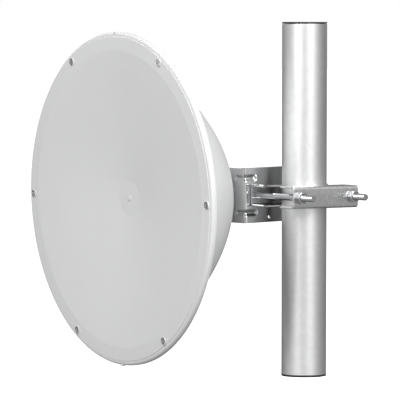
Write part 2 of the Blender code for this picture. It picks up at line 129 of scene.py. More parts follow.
# %% [markdown]
# ## From arrays to pieces
#
# Nearly every piece is a grid of points: rows along a profile, columns round an axis or along a
# length. One function makes it a closed mesh. It merges the points that meet at a pole, turns the
# faces outwards and shades them smooth except at edges.


# %% Make a mesh object from points and quads
SAME_POINT = 2e-6
NO_LENGTH = 1e-7
TOUCHING = 1e-9
SHARP_ANGLE = 32
THREAD_SHARP_ANGLE = 40


def add_piece(name, points, quads, place=None, sharp_angle=SHARP_ANGLE):
    """An object of points and quads: doubles merged, faces outwards, smooth between edges."""
    points = np.asarray(points, float).reshape(-1, 3)
    if place is not None:
        turn = np.array(place)
        points = points @ turn[:3, :3].T + turn[:3, 3]
    mesh = bpy.data.meshes.new(name)
    mesh.from_pydata(points.tolist(), [], np.asarray(quads).tolist())
    bm = bmesh.new()
    bm.from_mesh(mesh)
    bmesh.ops.remove_doubles(bm, verts=bm.verts, dist=SAME_POINT)
    bmesh.ops.dissolve_degenerate(bm, edges=bm.edges, dist=NO_LENGTH)
    bmesh.ops.recalc_face_normals(bm, faces=bm.faces)
    bm.to_mesh(mesh)
    bm.free()
    mesh.shade_smooth()
    mesh.set_sharp_from_angle(angle=radians(sharp_angle))
    return link_object(name, mesh)


def grid_quads(rows, columns, around=True, along=False):
    """Quads of a grid: each point joins the next in its row and in its column."""
    index = np.arange(rows * columns).reshape(rows, columns)
    if around:
        index = np.concatenate([index, index[:, :1]], axis=1)
    if along:
        index = np.concatenate([index, index[:1]], axis=0)
    corners = (index[:-1, :-1], index[:-1, 1:], index[1:, 1:], index[1:, :-1])
    return np.stack(corners, axis=-1).reshape(-1, 4)


# %% [markdown]
# ## Rounded outlines
#
# Real edges are never quite sharp, and the highlights along them tell metal from paper. A Bevel
# modifier could round a finished mesh, but here the outline is rounded before it is turned. Each
# corner becomes an arc that touches both sides, with a point past each end so that flats stay flat.


# %% Round the corners of an outline
STRAIGHT = 1e-6
NOTHING = 1e-12
GUARD_SHARE = 0.4


def rounded(corners, radii, steps=5, closed=False):
    """The outline with an arc at each corner.

    The arc's centre lies on the corner's bisector, its radius over the sine of the half angle away.
    Each of its points is the two feet's directions mixed by sines of the parts of the angle.
    """
    here = np.array(corners, float)
    radii = np.broadcast_to(np.asarray(radii, float), len(here)).copy()
    sides = np.stack([np.roll(here, 1, axis=0), np.roll(here, -1, axis=0)]) - here
    lengths = np.linalg.norm(sides, axis=2)
    sides /= np.maximum(lengths, NOTHING)[..., None]
    if not closed:
        radii[[0, -1]] = 0
    bisector = sides[0] + sides[1]
    size = np.linalg.norm(bisector, axis=1)
    radii[size < STRAIGHT] = 0
    bisector /= np.maximum(size, STRAIGHT)[:, None]
    half = np.arccos(np.clip((sides[0] * sides[1]).sum(axis=1), -1, 1)) / 2
    half = np.maximum(half, STRAIGHT)
    reach = radii / np.tan(half)
    centre = here + bisector * (radii / np.sin(half))[:, None]
    feet = here + sides * reach[:, None]
    turn = np.maximum(pi - 2 * half, TOUCHING)[:, None]
    part = np.linspace(0, 1, steps + 1)
    shares = np.sin(np.stack([(1 - part) * turn, part * turn])) / np.sin(turn)
    mixed = shares[..., None] * (feet - centre)[:, :, None]
    arc = centre[:, None] + mixed[0] + mixed[1]
    room = np.maximum(lengths - reach - np.stack([np.roll(reach, 1), np.roll(reach, -1)]), 0)
    guards = feet + sides * (GUARD_SHARE * np.minimum(radii, room))[..., None]
    path = np.concatenate([guards[0][:, None], arc, guards[1][:, None]], axis=1).reshape(-1, 2)
    keep = np.ones(len(path), bool)
    keep[1:] = np.linalg.norm(np.diff(path, axis=0), axis=1) > NO_LENGTH
    return path[keep]


# %% [markdown]
# ## Turned pieces
#
# The dish, its cover, the mast, nuts and screws are surfaces of revolution, or begin as one. Radii,
# heights and angles stay separate arrays until the end, so that a nut can press a hexagon into its
# radii and a bolt can cut a thread into them.


# %% Carry a profile round an axis
def spin(profile, columns):
    """Radius, height and angle of a profile carried round the axis, as rows by columns."""
    profile = np.asarray(profile, float)
    angle = np.arange(columns) * 2 * pi / columns
    shape = (len(profile), columns)
    radius = np.broadcast_to(profile[:, :1], shape).copy()
    height = np.broadcast_to(profile[:, 1:], shape).copy()
    return radius, height, np.broadcast_to(angle, shape).copy()


def ring(inner, outer, low, high):
    """The section of a ring, or of a disc where the inner radius is 0."""
    return [(inner, low), (outer, low), (outer, high), (inner, high)]


def flanged(flange, neck, low, middle, high):
    """The section of a flange from low to middle and a neck from there to high."""
    return [(0, low), (flange, low), (flange, middle), (neck, middle), (neck, high), (0, high)]


def round_piece(name, radius, height, angle, place=None, sharp_angle=SHARP_ANGLE):
    """A piece of rings of points: x is radius times cosine of the angle, y radius times sine.

    The rings make a loop, or an open line with both ends on the axis.
    """
    loop = radius[0, 0] > TOUCHING
    points = np.stack([radius * np.cos(angle), radius * np.sin(angle), height], axis=-1)
    return add_piece(name, points, grid_quads(*radius.shape, along=loop), place, sharp_angle)


def turned(name, profile, columns, place=None):
    """A piece turned from a profile."""
    return round_piece(name, *spin(profile, columns), place)


def hexagon(angle, flats):
    """Distance from a hexagon's middle to its edge: half the flats over the cosine of the turn."""
    return flats / 2 / np.cos((angle + pi / 6) % (pi / 3) - pi / 6)


THREAD_FLAT = 0.12


def thread(height, angle, pitch):
    """Depth of a screw thread, from 0 on its crest to 1 at its root.

    The phase goes up by one each pitch and down by one each turn. The depth is its distance from
    the pitch's middle, with crest and root cut flat.
    """
    phase = (height / pitch - angle / (2 * pi)) % 1
    return np.clip((np.abs(phase - 0.5) * 2 - THREAD_FLAT) / (1 - 2 * THREAD_FLAT), 0, 1)


# %% [markdown]
# ## Sheet metal
#
# The jaws and the bracket are bent sheet: two skins, given as grids of the same size, joined round
# the border. The border's points move a little towards each other, which breaks the sheared edge.
# A Solidify modifier could give the thickness too, but it would round a bend's ends unevenly.


# %% Join two skins into one sheet
def sheet_metal(name, outer, inner, edge_share, place=None):
    """Two skins joined round the border, whose points move towards each other by edge_share."""
    rows, columns = outer.shape[:2]
    border = np.ones((rows, columns, 1), bool)
    border[1:-1, 1:-1] = False
    shift = (inner - outer) * edge_share * border
    outer, inner = outer + shift, inner - shift
    skin = grid_quads(rows, columns, around=False)
    index = np.arange(rows * columns).reshape(rows, columns)
    here = np.concatenate([index[0, :-1], index[:-1, -1], index[-1, :0:-1], index[:0:-1, 0]])
    following = np.roll(here, -1)
    count = rows * columns
    walls = np.stack([here, following, following + count, here + count], axis=-1)
    quads = np.concatenate([skin, skin[:, ::-1] + count, walls])
    return add_piece(name, np.stack([outer, inner]), quads, place)


def steps_between(*stops):
    """Rising values from stop to stop: each stop is (value, how many steps lead up to it)."""
    parts = [np.array([stops[0][0]])]
    for (low, _), (high, count) in zip(stops, stops[1:]):
        parts.append(np.linspace(low, high, count + 1)[1:])
    return np.concatenate(parts)


# %% [markdown]
# ## Cutting holes
#
# Holes are drilled as in a workshop: a cutter is taken away from the piece. The Boolean modifier
# does it, and its result is kept as the mesh.


# %% Drill or join with a Boolean
def boolean(piece, cutters, operation="DIFFERENCE"):
    """Cuts helpers out of the piece, or joins them on, and keeps the result as its mesh."""
    for cutter in cutters:
        step = piece.modifiers.new(cutter.name, "BOOLEAN")
        step.operation = operation
        step.solver = "EXACT"
        step.object = cutter
    seen = piece.evaluated_get(bpy.context.evaluated_depsgraph_get())
    mesh = bpy.data.meshes.new_from_object(seen)
    piece.modifiers.clear()
    old = piece.data
    piece.data = mesh
    bpy.data.meshes.remove(old)
    mesh.name = piece.name
    for cutter in cutters:
        bpy.data.objects.remove(cutter)
    mesh.shade_smooth()
    mesh.set_sharp_from_angle(angle=radians(SHARP_ANGLE))
    return piece


def drill(x, y, radius, low, high, place, columns=36):
    """A round cutter at (x, y), from one height to another, in the frame of the place."""
    place = place @ Matrix.Translation((x, y, 0))
    return turned("cutter", ring(0, radius, low, high), columns, place)


# %% [markdown]
# ## Finishes
#
# A finish is one material: plain metal, paint or plastic on the Principled shader, and noise on
# Object coordinates for what really varies, such as dull patches of zinc or the grain of moulded
# plastic. Textures read metres, so a scale of 100 makes features about a centimetre across.


# %% Build materials from nodes
PATTERN_LOW = 0.3
PATTERN_HIGH = 0.7


def set_inputs(node, **values):
    """Sets a node's inputs by name, with a low line for each space, and returns the node."""
    for name, value in values.items():
        node.inputs[name.replace("_", " ")].default_value = value
    return node


class Finish:
    """A Principled material with short ways to add a pattern to its colour, gloss or surface."""

    def __init__(self, name, colour, roughness, metallic=0.0):
        self.material = bpy.data.materials.new(name)
        self.material.use_nodes = True
        self.nodes = self.material.node_tree.nodes
        self.links = self.material.node_tree.links
        self.shader = self.nodes["Principled BSDF"]
        self.colour = colour
        set_inputs(self.shader, Base_Color=(*colour, 1), Roughness=roughness, Metallic=metallic)

    def add(self, kind, **values):
        """A new shader node with some of its inputs set."""
        return set_inputs(self.nodes.new("ShaderNode" + kind), **values)

    def noise(self, scale, detail, stretch=(1, 1, 1)):
        """A noise pattern on Object coordinates, squeezed along an axis where stretch is high."""
        mapping = self.add("Mapping", Scale=stretch)
        texture = self.add("TexNoise", Scale=scale, Detail=detail)
        self.links.new(self.add("TexCoord").outputs["Object"], mapping.inputs["Vector"])
        self.links.new(mapping.outputs["Vector"], texture.inputs["Vector"])
        return texture.outputs["Fac"]

    def crystals(self, scale):
        """Cells of one random value each, as zinc crystals."""
        texture = self.add("TexVoronoi", Scale=scale)
        split = self.add("SeparateColor")
        self.links.new(self.add("TexCoord").outputs["Object"], texture.inputs["Vector"])
        self.links.new(texture.outputs["Color"], split.inputs["Color"])
        return split.outputs["Red"]

    def pattern(self, value):
        """The noise that a tuple of its settings asks for, or the pattern that was given."""
        return self.noise(*value) if isinstance(value, tuple) else value

    def spread(self, value, low, high):
        """Takes the middle of a pattern's range, PATTERN_LOW to PATTERN_HIGH, to low..high."""
        node = self.add("MapRange", From_Min=PATTERN_LOW, From_Max=PATTERN_HIGH)
        set_inputs(node, To_Min=low, To_Max=high)
        self.links.new(self.pattern(value), node.inputs["Value"])
        return node.outputs["Result"]

    def vary_roughness(self, value, low, high):
        self.links.new(self.spread(value, low, high), self.shader.inputs["Roughness"])

    def vary_colour(self, value, low, high):
        """Multiplies the colour by low..high, on top of any earlier pattern."""
        colour = self.shader.inputs["Base Color"]
        mix = self.add("VectorMath")
        mix.operation = "SCALE"
        if colour.is_linked:
            self.links.new(colour.links[0].from_socket, mix.inputs[0])
        else:
            mix.inputs[0].default_value = self.colour
        self.links.new(self.spread(value, low, high), mix.inputs["Scale"])
        self.links.new(mix.outputs["Vector"], colour)

    def raise_surface(self, value, height, strength=1.0):
        """Bumps the surface by a pattern, height metres at most, on top of any earlier one."""
        bump = self.add("Bump", Distance=height, Strength=strength)
        self.links.new(self.pattern(value), bump.inputs["Height"])
        normal = self.shader.inputs["Normal"]
        if normal.is_linked:
            self.links.new(normal.links[0].from_socket, bump.inputs["Normal"])
        self.links.new(bump.outputs["Normal"], normal)


def dress(piece, finish, slot, body, *nodes):
    """Gives a piece its finish and body, and hides the CAD nodes it stands for."""
    piece.data.materials.clear()
    piece.data.materials.append(finish.material)
    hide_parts(*nodes)
    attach(piece, body)
    count = sum(len(face.vertices) - 2 for face in piece.data.polygons)
    print(f"{piece.name}: {count} triangles on {body}")
    return piece


# %% [markdown]
# ### Zinc and steel
#
# The mast is dipped in molten zinc: it is dull, with large soft patches and faint crystals. The
# bracket and inner jaw are plated: darker and much smoother. The outer jaw is rougher and mottled,
# and its colour is painted lighter than the inner jaw's, as painted light for its brighter web.
# Bolts, nuts and washers are plated too, on machined steel. The cover's screws are stainless.

# %% Galvanised mast, plated sheet, a lighter sheet with painted light, plated bolts and stainless screws
galvanised = Finish("galvanised_steel", (0.84, 0.842, 0.845), 0.40, 1.0)
galvanised.vary_colour((70, 3, (1, 1, 0.1)), 0.985, 1.015)
galvanised.vary_colour(galvanised.crystals(150), 0.985, 1.015)
galvanised.vary_roughness((45, 3, (1, 1, 0.25)), 0.38, 0.415)
galvanised.raise_surface((260, 3), 0.00002)

plated_sheet = Finish("plated_sheet", (0.60, 0.603, 0.607), 0.12, 1.0)
plated_sheet.vary_colour((48, 3), 0.96, 1.04)
plated_sheet.vary_roughness((160, 3), 0.10, 0.14)
plated_sheet.raise_surface((420, 2), 0.00003)

# Painted light: a copy of the plated sheet with a lighter base colour, standing in for the brighter
# light on the outer jaw's web. Its mottling and roughness are its own.
mottled_sheet_painted_light = Finish("mottled_sheet_painted_light", (0.70, 0.703, 0.707), 0.28, 1.0)
mottled_sheet_painted_light.vary_colour((260, 3), 0.93, 1.07)
mottled_sheet_painted_light.vary_roughness((160, 3), 0.24, 0.32)
mottled_sheet_painted_light.raise_surface((420, 2), 0.00005)

bright_zinc = Finish("bright_zinc", (0.58, 0.585, 0.59), 0.20, 1.0)
bright_zinc.vary_roughness((500, 2), 0.17, 0.23)
bright_zinc.vary_colour((220, 2), 0.95, 1.03)

stainless = Finish("stainless_steel", (0.50, 0.50, 0.50), 0.30, 1.0)
stainless.vary_roughness((600, 2), 0.25, 0.38)
print("metal finishes ready")

# %% [markdown]
# ### Paint and plastic
#
# The bowl is painted aluminium, slightly glossy, with a faint waviness from spinning the metal. The
# cover is moulded plastic of nearly the same grey: duller, with a fine grain. The mast's plugs are
# black plastic.

# %% Painted bowl, moulded cover and black plugs
bowl_paint = Finish("bowl_paint", (0.78, 0.783, 0.787), 0.38)
bowl_paint.vary_colour((14, 2), 0.985, 1.01)
bowl_paint.raise_surface((30, 1), 0.0002, 0.3)
bowl_paint.raise_surface((900, 2), 0.00001)
set_inputs(bowl_paint.shader, Coat_Weight=0.25, Coat_Roughness=0.25)

cover_plastic = Finish("cover_plastic", (0.66, 0.662, 0.664), 0.50)
cover_plastic.vary_colour((9, 2), 0.985, 1.015)
cover_plastic.vary_roughness((1800, 2), 0.46, 0.56)
cover_plastic.raise_surface((1600, 2), 0.00002)

black_plastic = Finish("black_plastic", (0.022, 0.022, 0.023), 0.5)
black_plastic.vary_roughness((700, 3), 0.42, 0.6)
black_plastic.raise_surface((1100, 2), 0.00004)
print("paint and plastic ready")

# %% [markdown]
# ### The feed's turned metal
#
# The hub behind the dish is turned aluminium, and the cable socket is plated brass. A lathe leaves
# rings: the hub's noise is squeezed along the dish's axis, so each thin slice has its own gloss.

# %% Turned aluminium and plated brass
turned_aluminium = Finish("turned_aluminium", (0.72, 0.725, 0.73), 0.30, 1.0)
turned_aluminium.vary_roughness((60, 2, (0.2, 40, 0.2)), 0.22, 0.38)
turned_aluminium.vary_colour((300, 2), 0.96, 1.03)
plated_brass = Finish("plated_brass", (0.72, 0.66, 0.50), 0.24, 1.0)
plated_brass.vary_roughness((500, 2), 0.18, 0.32)
plated_brass.vary_colour((200, 2), 0.94, 1.03)
print("turned metal ready")

# %% [markdown]
# ## The mast
#
# A length of galvanised tube stands for the mast, with a black plug pushed into each end. A
# Cylinder with Solidify would do, but the whole section is turned here: outside, ends and bore.

# %% Turn the mast tube and its plugs
MAST_RADIUS = 0.027
MAST_WALL = 0.0029
MAST_COLUMNS = 128
TUBE_EDGE = 0.0005
PLUG_LIP = 0.002
PLUG_SPIGOT = 0.018
PLUG_WALL = 0.003
MAST_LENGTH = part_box("mast_top_plug")[1][2]

bore = MAST_RADIUS - MAST_WALL
tube_low = PLUG_LIP + GAP
tube_high = MAST_LENGTH - tube_low
tube_outline = ring(bore, MAST_RADIUS, tube_low, tube_high)
tube_profile = rounded(tube_outline, TUBE_EDGE, closed=True)
mast_tube = turned("mast_tube_skin", tube_profile, MAST_COLUMNS)
dress(mast_tube, galvanised, "galvanised_mast", "mast", "mast_tube")

spigot = bore - GAP
inside = spigot - PLUG_WALL
spigot_end = PLUG_LIP + PLUG_SPIGOT
plug_outline = [(0, 0), (MAST_RADIUS, 0), (MAST_RADIUS, PLUG_LIP), (spigot, PLUG_LIP)]
plug_outline += [(spigot, spigot_end), (inside, spigot_end), (inside, PLUG_LIP), (0, PLUG_LIP)]
plug_rounding = [0, 0.0008, 0.0004, 0, 0.0006, 0.0004, 0, 0]
plug_profile = rounded(plug_outline, plug_rounding)
plug_places = {
    "mast_foot_plug": Matrix.Identity(4),
    "mast_top_plug": Matrix.Translation((0, 0, MAST_LENGTH)) @ Matrix.Rotation(pi, 4, "X"),
}
for node, place in plug_places.items():
    plug = turned(node + "_skin", plug_profile, MAST_COLUMNS, place)
    dress(plug, black_plastic, "black_plastic", "mast", node)

# %% [markdown]
# ## The clamp's jaws
#
# Each jaw is a pressed channel: a flat web, two bends, and two flanges cut to an arch that sits on
# the mast. The section is drawn once and carried along the jaw. Only the flanges' ends change on
# the way: they reach to the tube's circle, or to the tip beside it.

# %% Sizes of the jaws
JAW_LENGTH = 0.095
JAW_HEIGHT = 0.0266
JAW_SHEET = 0.0025
JAW_CORNER = 0.004
JAW_FACE = 0.0445
JAW_TIP = 0.016
BOLT_HOLE = 0.0044
EDGE = 0.0004
PAST_TIP = 0.003


def section_skin(tip, face, half, corner, steps=8):
    """One skin of a channel's section for each place along it, across and upright.

    From the lower tip round a quarter circle, up the web, round another and to the upper tip. The
    second point lies just inside the tip, to carry the broken edge.
    """
    turn = np.linspace(0, pi / 2, steps + 1)
    bend_x = face - corner + corner * np.sin(turn)
    bend_y = half - corner + corner * np.cos(turn)
    x = np.concatenate([bend_x, bend_x[::-1]])
    y = np.concatenate([-bend_y, bend_y[::-1]])
    x = np.broadcast_to(x, (len(tip), len(x)))
    y = np.broadcast_to(y, (len(tip), len(y)))
    tips = np.stack([tip, tip + EDGE, tip + PAST_TIP], axis=1)
    heights = np.full_like(tips, half)
    across = np.concatenate([tips, x, tips[:, ::-1]], axis=1)
    upright = np.concatenate([-heights, y, heights], axis=1)
    return across, upright


def make_jaw(name, side):
    """Carries the section along the jaw: its tip is the mast's half chord, or JAW_TIP if more."""
    half = JAW_LENGTH / 2
    seat = sqrt((MAST_RADIUS + GAP) ** 2 - JAW_TIP**2)
    stops = ((-half, 0), (EDGE - half, 1), (-seat, 8), (seat, 60), (half - EDGE, 8), (half, 1))
    along = steps_between(*stops)
    chord = np.sqrt(np.maximum((MAST_RADIUS + GAP) ** 2 - along**2, 0))
    tip = np.maximum(chord, JAW_TIP)
    skins = []
    for inward in (0, JAW_SHEET):
        sizes = np.array((JAW_FACE, JAW_HEIGHT / 2, JAW_CORNER)) - inward
        across, upright = section_skin(tip, *sizes)
        depth = np.broadcast_to(along[:, None], across.shape)
        skins.append(np.stack([side * across, depth, upright], axis=-1))
    jaw = sheet_metal(name, *skins, EDGE / JAW_SHEET, clamp_place)
    to_web = clamp_place @ Matrix.Rotation(pi / 2, 4, "Y")
    low, high = sorted((side * (JAW_FACE - 2 * JAW_SHEET), side * (JAW_FACE + JAW_SHEET)))
    cutters = [drill(0, y, BOLT_HOLE, low, high, to_web) for y in (-BOLT_SPREAD, BOLT_SPREAD)]
    return boolean(jaw, cutters)


# %% Press both jaws
# The outer jaw gets the lighter sheet, whose extra lightness is painted light; the inner jaw gets
# the plain plated sheet.
for node, side, finish in (("jaw_outer", 1, mottled_sheet_painted_light), ("jaw_inner", -1, plated_sheet)):
    jaw = make_jaw(node + "_skin", side)
    dress(jaw, finish, "plate_steel", "clamp", node)

# %% [markdown]
# ## The clamp's bolts, nuts and washers
#
# A hexagon head begins as a turned piece with sloped shoulders. Where the turned radius is more
# than the hexagon's, the hexagon wins, which leaves the curved edges of a real head. The thread is
# taken off the shank's radius along a helix.

# %% Sizes of the clamp's bolts
BOLT_RADIUS = 0.004
BOLT_PITCH = 0.00125
THREAD_DEPTH = 0.0005
THREAD_LENGTH = 0.030
STICKS_OUT = 0.027
PLATE = 0.003
HEX_FLATS = 0.013
HEAD_HEIGHT = 0.0053
NUT_HEIGHT = 0.0065
WASHER_RADIUS = 0.008
WASHER_THICK = 0.0016
WASHER_EDGE = 0.0003
WASHER_COLUMNS = 64
SHOULDER_SLOPE = radians(30)
SHOULDER_START = 0.47
SHOULDER_STOP = 0.60
MOUTH_SHARE = 0.12
END_SHARE = 1.3
NUT_COLUMNS = 72
ROD_COLUMNS = 48
ROWS_A_TURN = 6


def shoulder(low, high, flats, steps=7):
    """The slope that cuts a hexagon's corners: from inside its flats out past its corners."""
    radius = np.linspace(flats * SHOULDER_START, flats * SHOULDER_STOP, steps)
    height = low + (radius - radius[0]) * tan(SHOULDER_SLOPE) * (1 if high > low else -1)
    return np.stack([radius, height], axis=1)


def nut_profile(low, high, flats, bore):
    """A nut's section: both faces, both shoulders and a bore with sloped mouths."""
    bottom = shoulder(low, high, flats)
    top = shoulder(high, low, flats)[::-1]
    mouth = bore * MOUTH_SHARE
    inside = [(bore + mouth, high), (bore, high - mouth), (bore, low + mouth), (bore + mouth, low)]
    return np.concatenate([bottom, top, inside])


def make_nut(name, low, high, flats, bore, place):
    """A nut: the smaller of its turned profile and a hexagon."""
    radius, height, angle = spin(nut_profile(low, high, flats, bore), NUT_COLUMNS)
    return round_piece(name, np.minimum(radius, hexagon(angle, flats)), height, angle, place)


def threaded(name, head, rod, place, reshape=None, rows_a_turn=ROWS_A_TURN):
    """A head's profile, then a rod of (start, stop, radius, pitch, depth) with a thread.

    The thread is taken off the rod's radius, less so over its first pitch, and the rod's end is
    sloped. Reshape gives the radius and height of a head that isn't round.
    """
    start, stop, outside, pitch, depth = rod
    heights = np.arange(start, stop, pitch / rows_a_turn)
    rows = np.stack([np.full_like(heights, outside), heights], axis=1)
    profile = np.concatenate([head, rows, [(outside, stop), (0, stop)]])
    radius, height, angle = spin(profile, ROD_COLUMNS)
    on_rod = (height >= start) & (np.abs(radius - outside) < TOUCHING)
    groove = depth * thread(height, angle, pitch) * np.clip((height - start) / pitch, 0, 1)
    slope = np.maximum(outside - depth * END_SHARE + (stop - height), 0)
    radius = np.where(on_rod, np.minimum(radius - groove, slope), radius)
    if reshape:
        radius, height = reshape(radius, height, angle)
    return round_piece(name, radius, height, angle, place, THREAD_SHARP_ANGLE)


def make_bolt(name, place, tip):
    """A hexagon bolt from its head, through a plain shank, to a threaded end."""
    under_head = -JAW_FACE - PLATE - 3 * GAP - WASHER_THICK
    head = shoulder(under_head - HEAD_HEIGHT, under_head, HEX_FLATS)
    under = [(HEX_FLATS * SHOULDER_STOP, under_head), (BOLT_RADIUS, under_head)]
    profile = np.concatenate([[(0, head[0, 1])], head, under])

    def press_hexagon(radius, height, angle):
        pressed = np.minimum(radius, hexagon(angle, HEX_FLATS))
        return np.where(height <= under_head, pressed, radius), height

    rod = (tip - THREAD_LENGTH, tip, BOLT_RADIUS, BOLT_PITCH, THREAD_DEPTH)
    return threaded(name, profile, rod, place, press_hexagon)


# %% Turn and thread them, and set them along the clamp's X axis
washer_high = -JAW_FACE - PLATE - 2 * GAP
washer_low = washer_high - WASHER_THICK
washer_bore = BOLT_RADIUS + GAP
washer_outline = ring(washer_bore, WASHER_RADIUS, washer_low, washer_high)
washer_profile = rounded(washer_outline, WASHER_EDGE, closed=True)
for end, y in (("front", -BOLT_SPREAD), ("rear", BOLT_SPREAD)):
    lying = clamp_place @ Matrix.Translation((0, y, 0)) @ Matrix.Rotation(pi / 2, 4, "Y")
    bolt = make_bolt(f"clamp_bolt_{end}_skin", lying, JAW_FACE + STICKS_OUT)
    dress(bolt, bright_zinc, "zinc_plate", "clamp", "clamp_bolt_" + end)
    low = JAW_FACE + GAP
    name = f"clamp_nut_{end}_skin"
    nut = make_nut(name, low, low + NUT_HEIGHT, HEX_FLATS, washer_bore, lying)
    dress(nut, bright_zinc, "zinc_plate", "clamp", "clamp_nut_" + end)
    washer = turned(f"clamp_washer_{end}_skin", washer_profile, WASHER_COLUMNS, lying)
    dress(washer, bright_zinc, "zinc_plate", "clamp", "clamp_washer_" + end)

# %% [markdown]
# ## The bracket
#
# One plate, bent square, ties the dish's seat to the clamp. Two darts, grooves pressed in from the
# outside, stiffen the bend. Each place on the plate has a turn round the bend or a distance along a
# flat, and a height. The darts' depth there is taken off the bend's radius.

# %% Sizes of the bracket
PLATE_HEIGHT = 0.0666
PLATE_BEND = 0.005
TIGHTEST_BEND = 0.0005
PIVOT_TO_END = 0.096
FLANGE_PAST_AXIS = 0.036
DART_HEIGHT = 0.0211
DART_REACH = 0.0142
DART_HALF_WIDTH = 0.0050
DART_DEPTH = 0.0024
SLOT_SWING = radians(10)
SIGHT_HOLE = (0.0185, -0.027)
SIGHT_HOLE_RADIUS = 0.002
STUD_PLACE = (0.026, 0.020)
STUD_RADIUS = 0.003
SEAT_HOLE = 0.0122

web_face = -JAW_FACE - GAP
flange_flat = DISH_OFFSET + FLANGE_PAST_AXIS + web_face - PLATE_BEND
web_flat = PIVOT_TO_END + SEAT_TO_PIVOT - PLATE_BEND


def dart_depth(along, height):
    """Depth of the darts: full on the middle line, falling off by a cosine to all sides.

    Past DART_REACH the distance is taken from the line's end, so a dart's end is round.
    """
    past_end = np.maximum(np.abs(along) - DART_REACH, 0)
    away = np.hypot(past_end, np.abs(height) - DART_HEIGHT)
    return DART_DEPTH * (1 + np.cos(pi * np.minimum(away / DART_HALF_WIDTH, 1))) / 2


def bracket_skin(inset):
    """One skin of the bent plate, from the flange's end round the bend to the web's end.

    Where the radius would be under TIGHTEST_BEND, the bend's centre moves inwards instead.
    """
    dart_end = DART_REACH + DART_HALF_WIDTH
    on_flange, on_web = (
        steps_between((0, 0), (dart_end, 72), (length - EDGE, 24), (length, 1))[1:]
        for length in (flange_flat, web_flat)
    )
    round_bend = np.linspace(0, pi / 2, 33)
    turn = np.concatenate([0 * on_flange, round_bend, 0 * on_web + pi / 2])
    flat = np.concatenate([-on_flange[::-1], 0 * round_bend, on_web])
    half = PLATE_HEIGHT / 2
    low, high = DART_HEIGHT - DART_HALF_WIDTH, DART_HEIGHT + DART_HALF_WIDTH
    height = steps_between((0, 0), (low, 6), (high, 48), (half - EDGE, 3), (half, 1))
    height = np.concatenate([-height[:0:-1], height])
    turn, height = np.meshgrid(turn, height, indexing="ij")
    flat = np.broadcast_to(flat[:, None], turn.shape)
    radius = PLATE_BEND - inset - dart_depth(PLATE_BEND * (turn - pi / 4) + flat, height)
    shift = np.maximum(TIGHTEST_BEND - radius, 0)
    radius = np.maximum(radius, TIGHTEST_BEND)
    left = np.maximum(-flat, 0) * (1 - shift / flange_flat)
    back = np.maximum(flat, 0) * (1 - shift / web_flat)
    x = web_face - PLATE_BEND - shift + radius * np.sin(turn) - left
    y = -SEAT_TO_PIVOT + PLATE_BEND + shift - radius * np.cos(turn) + back
    return np.stack([x, y, height], axis=-1)


def slot_outline(turn, swing, width):
    """A slot bent round the pivot: two arcs about it, half a width off the swing, and two ends.

    An end mixes the direction away from the pivot, by a cosine, with the one along the slot, by a
    sine.
    """
    angle = np.linspace(-turn, turn, 16)[:, None]
    cap = np.linspace(0, pi, 14)[1:-1, None]
    away = np.concatenate([-np.sin(angle), np.cos(angle)], axis=1)
    last, first = away[-1], away[0]
    onward = np.array((-cos(turn), -sin(turn)))
    backward = np.array((cos(turn), -sin(turn)))
    half = width / 2
    top = swing * last + half * (np.cos(cap) * last + np.sin(cap) * onward)
    bottom = swing * first + half * (-np.cos(cap) * first + np.sin(cap) * backward)
    return np.concatenate([(swing + half) * away, top, (swing - half) * away[::-1], bottom])


def prism(name, outline, low, high, place):
    """A flat outline carried from one height to another, closed towards its middle."""
    middle = np.broadcast_to(outline.mean(axis=0), outline.shape)
    rings = np.stack([middle, outline, outline, middle])
    heights = np.broadcast_to(np.array((low, low, high, high))[:, None, None], (*rings.shape[:2], 1))
    points = np.concatenate([rings, heights], axis=-1)
    return add_piece(name, points, grid_quads(*rings.shape[:2]), place)


# %% Press the bracket and drill it
skins = bracket_skin(0), bracket_skin(PLATE)
bracket = sheet_metal("mount_bracket_skin", *skins, EDGE / PLATE, antenna_place)
to_web = antenna_place @ Matrix.Rotation(pi / 2, 4, "Y")
to_flange = antenna_place @ Matrix.Rotation(-pi / 2, 4, "X")
web_low = web_face - 2 * PLATE
web_high = web_face + PLATE
flange_low = -SEAT_TO_PIVOT - PLATE
flange_high = -SEAT_TO_PIVOT + 2 * PLATE
sight_y, sight_z = SIGHT_HOLE
slot = slot_outline(SLOT_SWING, 2 * BOLT_SPREAD, 2 * BOLT_HOLE)
hub_place = np.array((-DISH_OFFSET, DISH_DROP))
stud_places = np.array(STUD_PLACE) * [(1, 1), (-1, 1), (-1, -1), (1, -1)]
cutters = [
    drill(0, 0, BOLT_HOLE, web_low, web_high, to_web),
    drill(-sight_z, sight_y, SIGHT_HOLE_RADIUS, web_low, web_high, to_web),
    prism("slot_cutter", slot, web_low, web_high, to_web),
    drill(*hub_place, SEAT_HOLE, flange_low, flange_high, to_flange),
]
for x, y in stud_places + hub_place:
    cutters.append(drill(x, y, STUD_RADIUS + GAP, flange_low, flange_high, to_flange))
boolean(bracket, cutters)
dress(bracket, plated_sheet, "plate_steel", "antenna", "mount_bracket")

# %% [markdown]
# ## The bowl
#
# The reflector is spun from aluminium. Its section is a parabola: the depth falls with the square
# of the radius, over four times the focal length. A flat seat carries the bracket and a flat rim
# the cover. The inside is the same curve moved in by the sheet's thickness along its normal.

# %% Spin the bowl
BOWL_FOCUS = 0.060
BOWL_DEPTH = 0.1411
BOWL_SHEET = 0.002
RIM_BACK = 0.0066
RIM_RADIUS = 0.1976
RIM_FILLET = 0.0022
RIM_EDGE = 0.0004
SEAT_FILLET = 0.004
SEAT_ROOM = 4
RIM_ROOM = 3
BOWL_STEPS = 60
ROUND_STEPS = 256


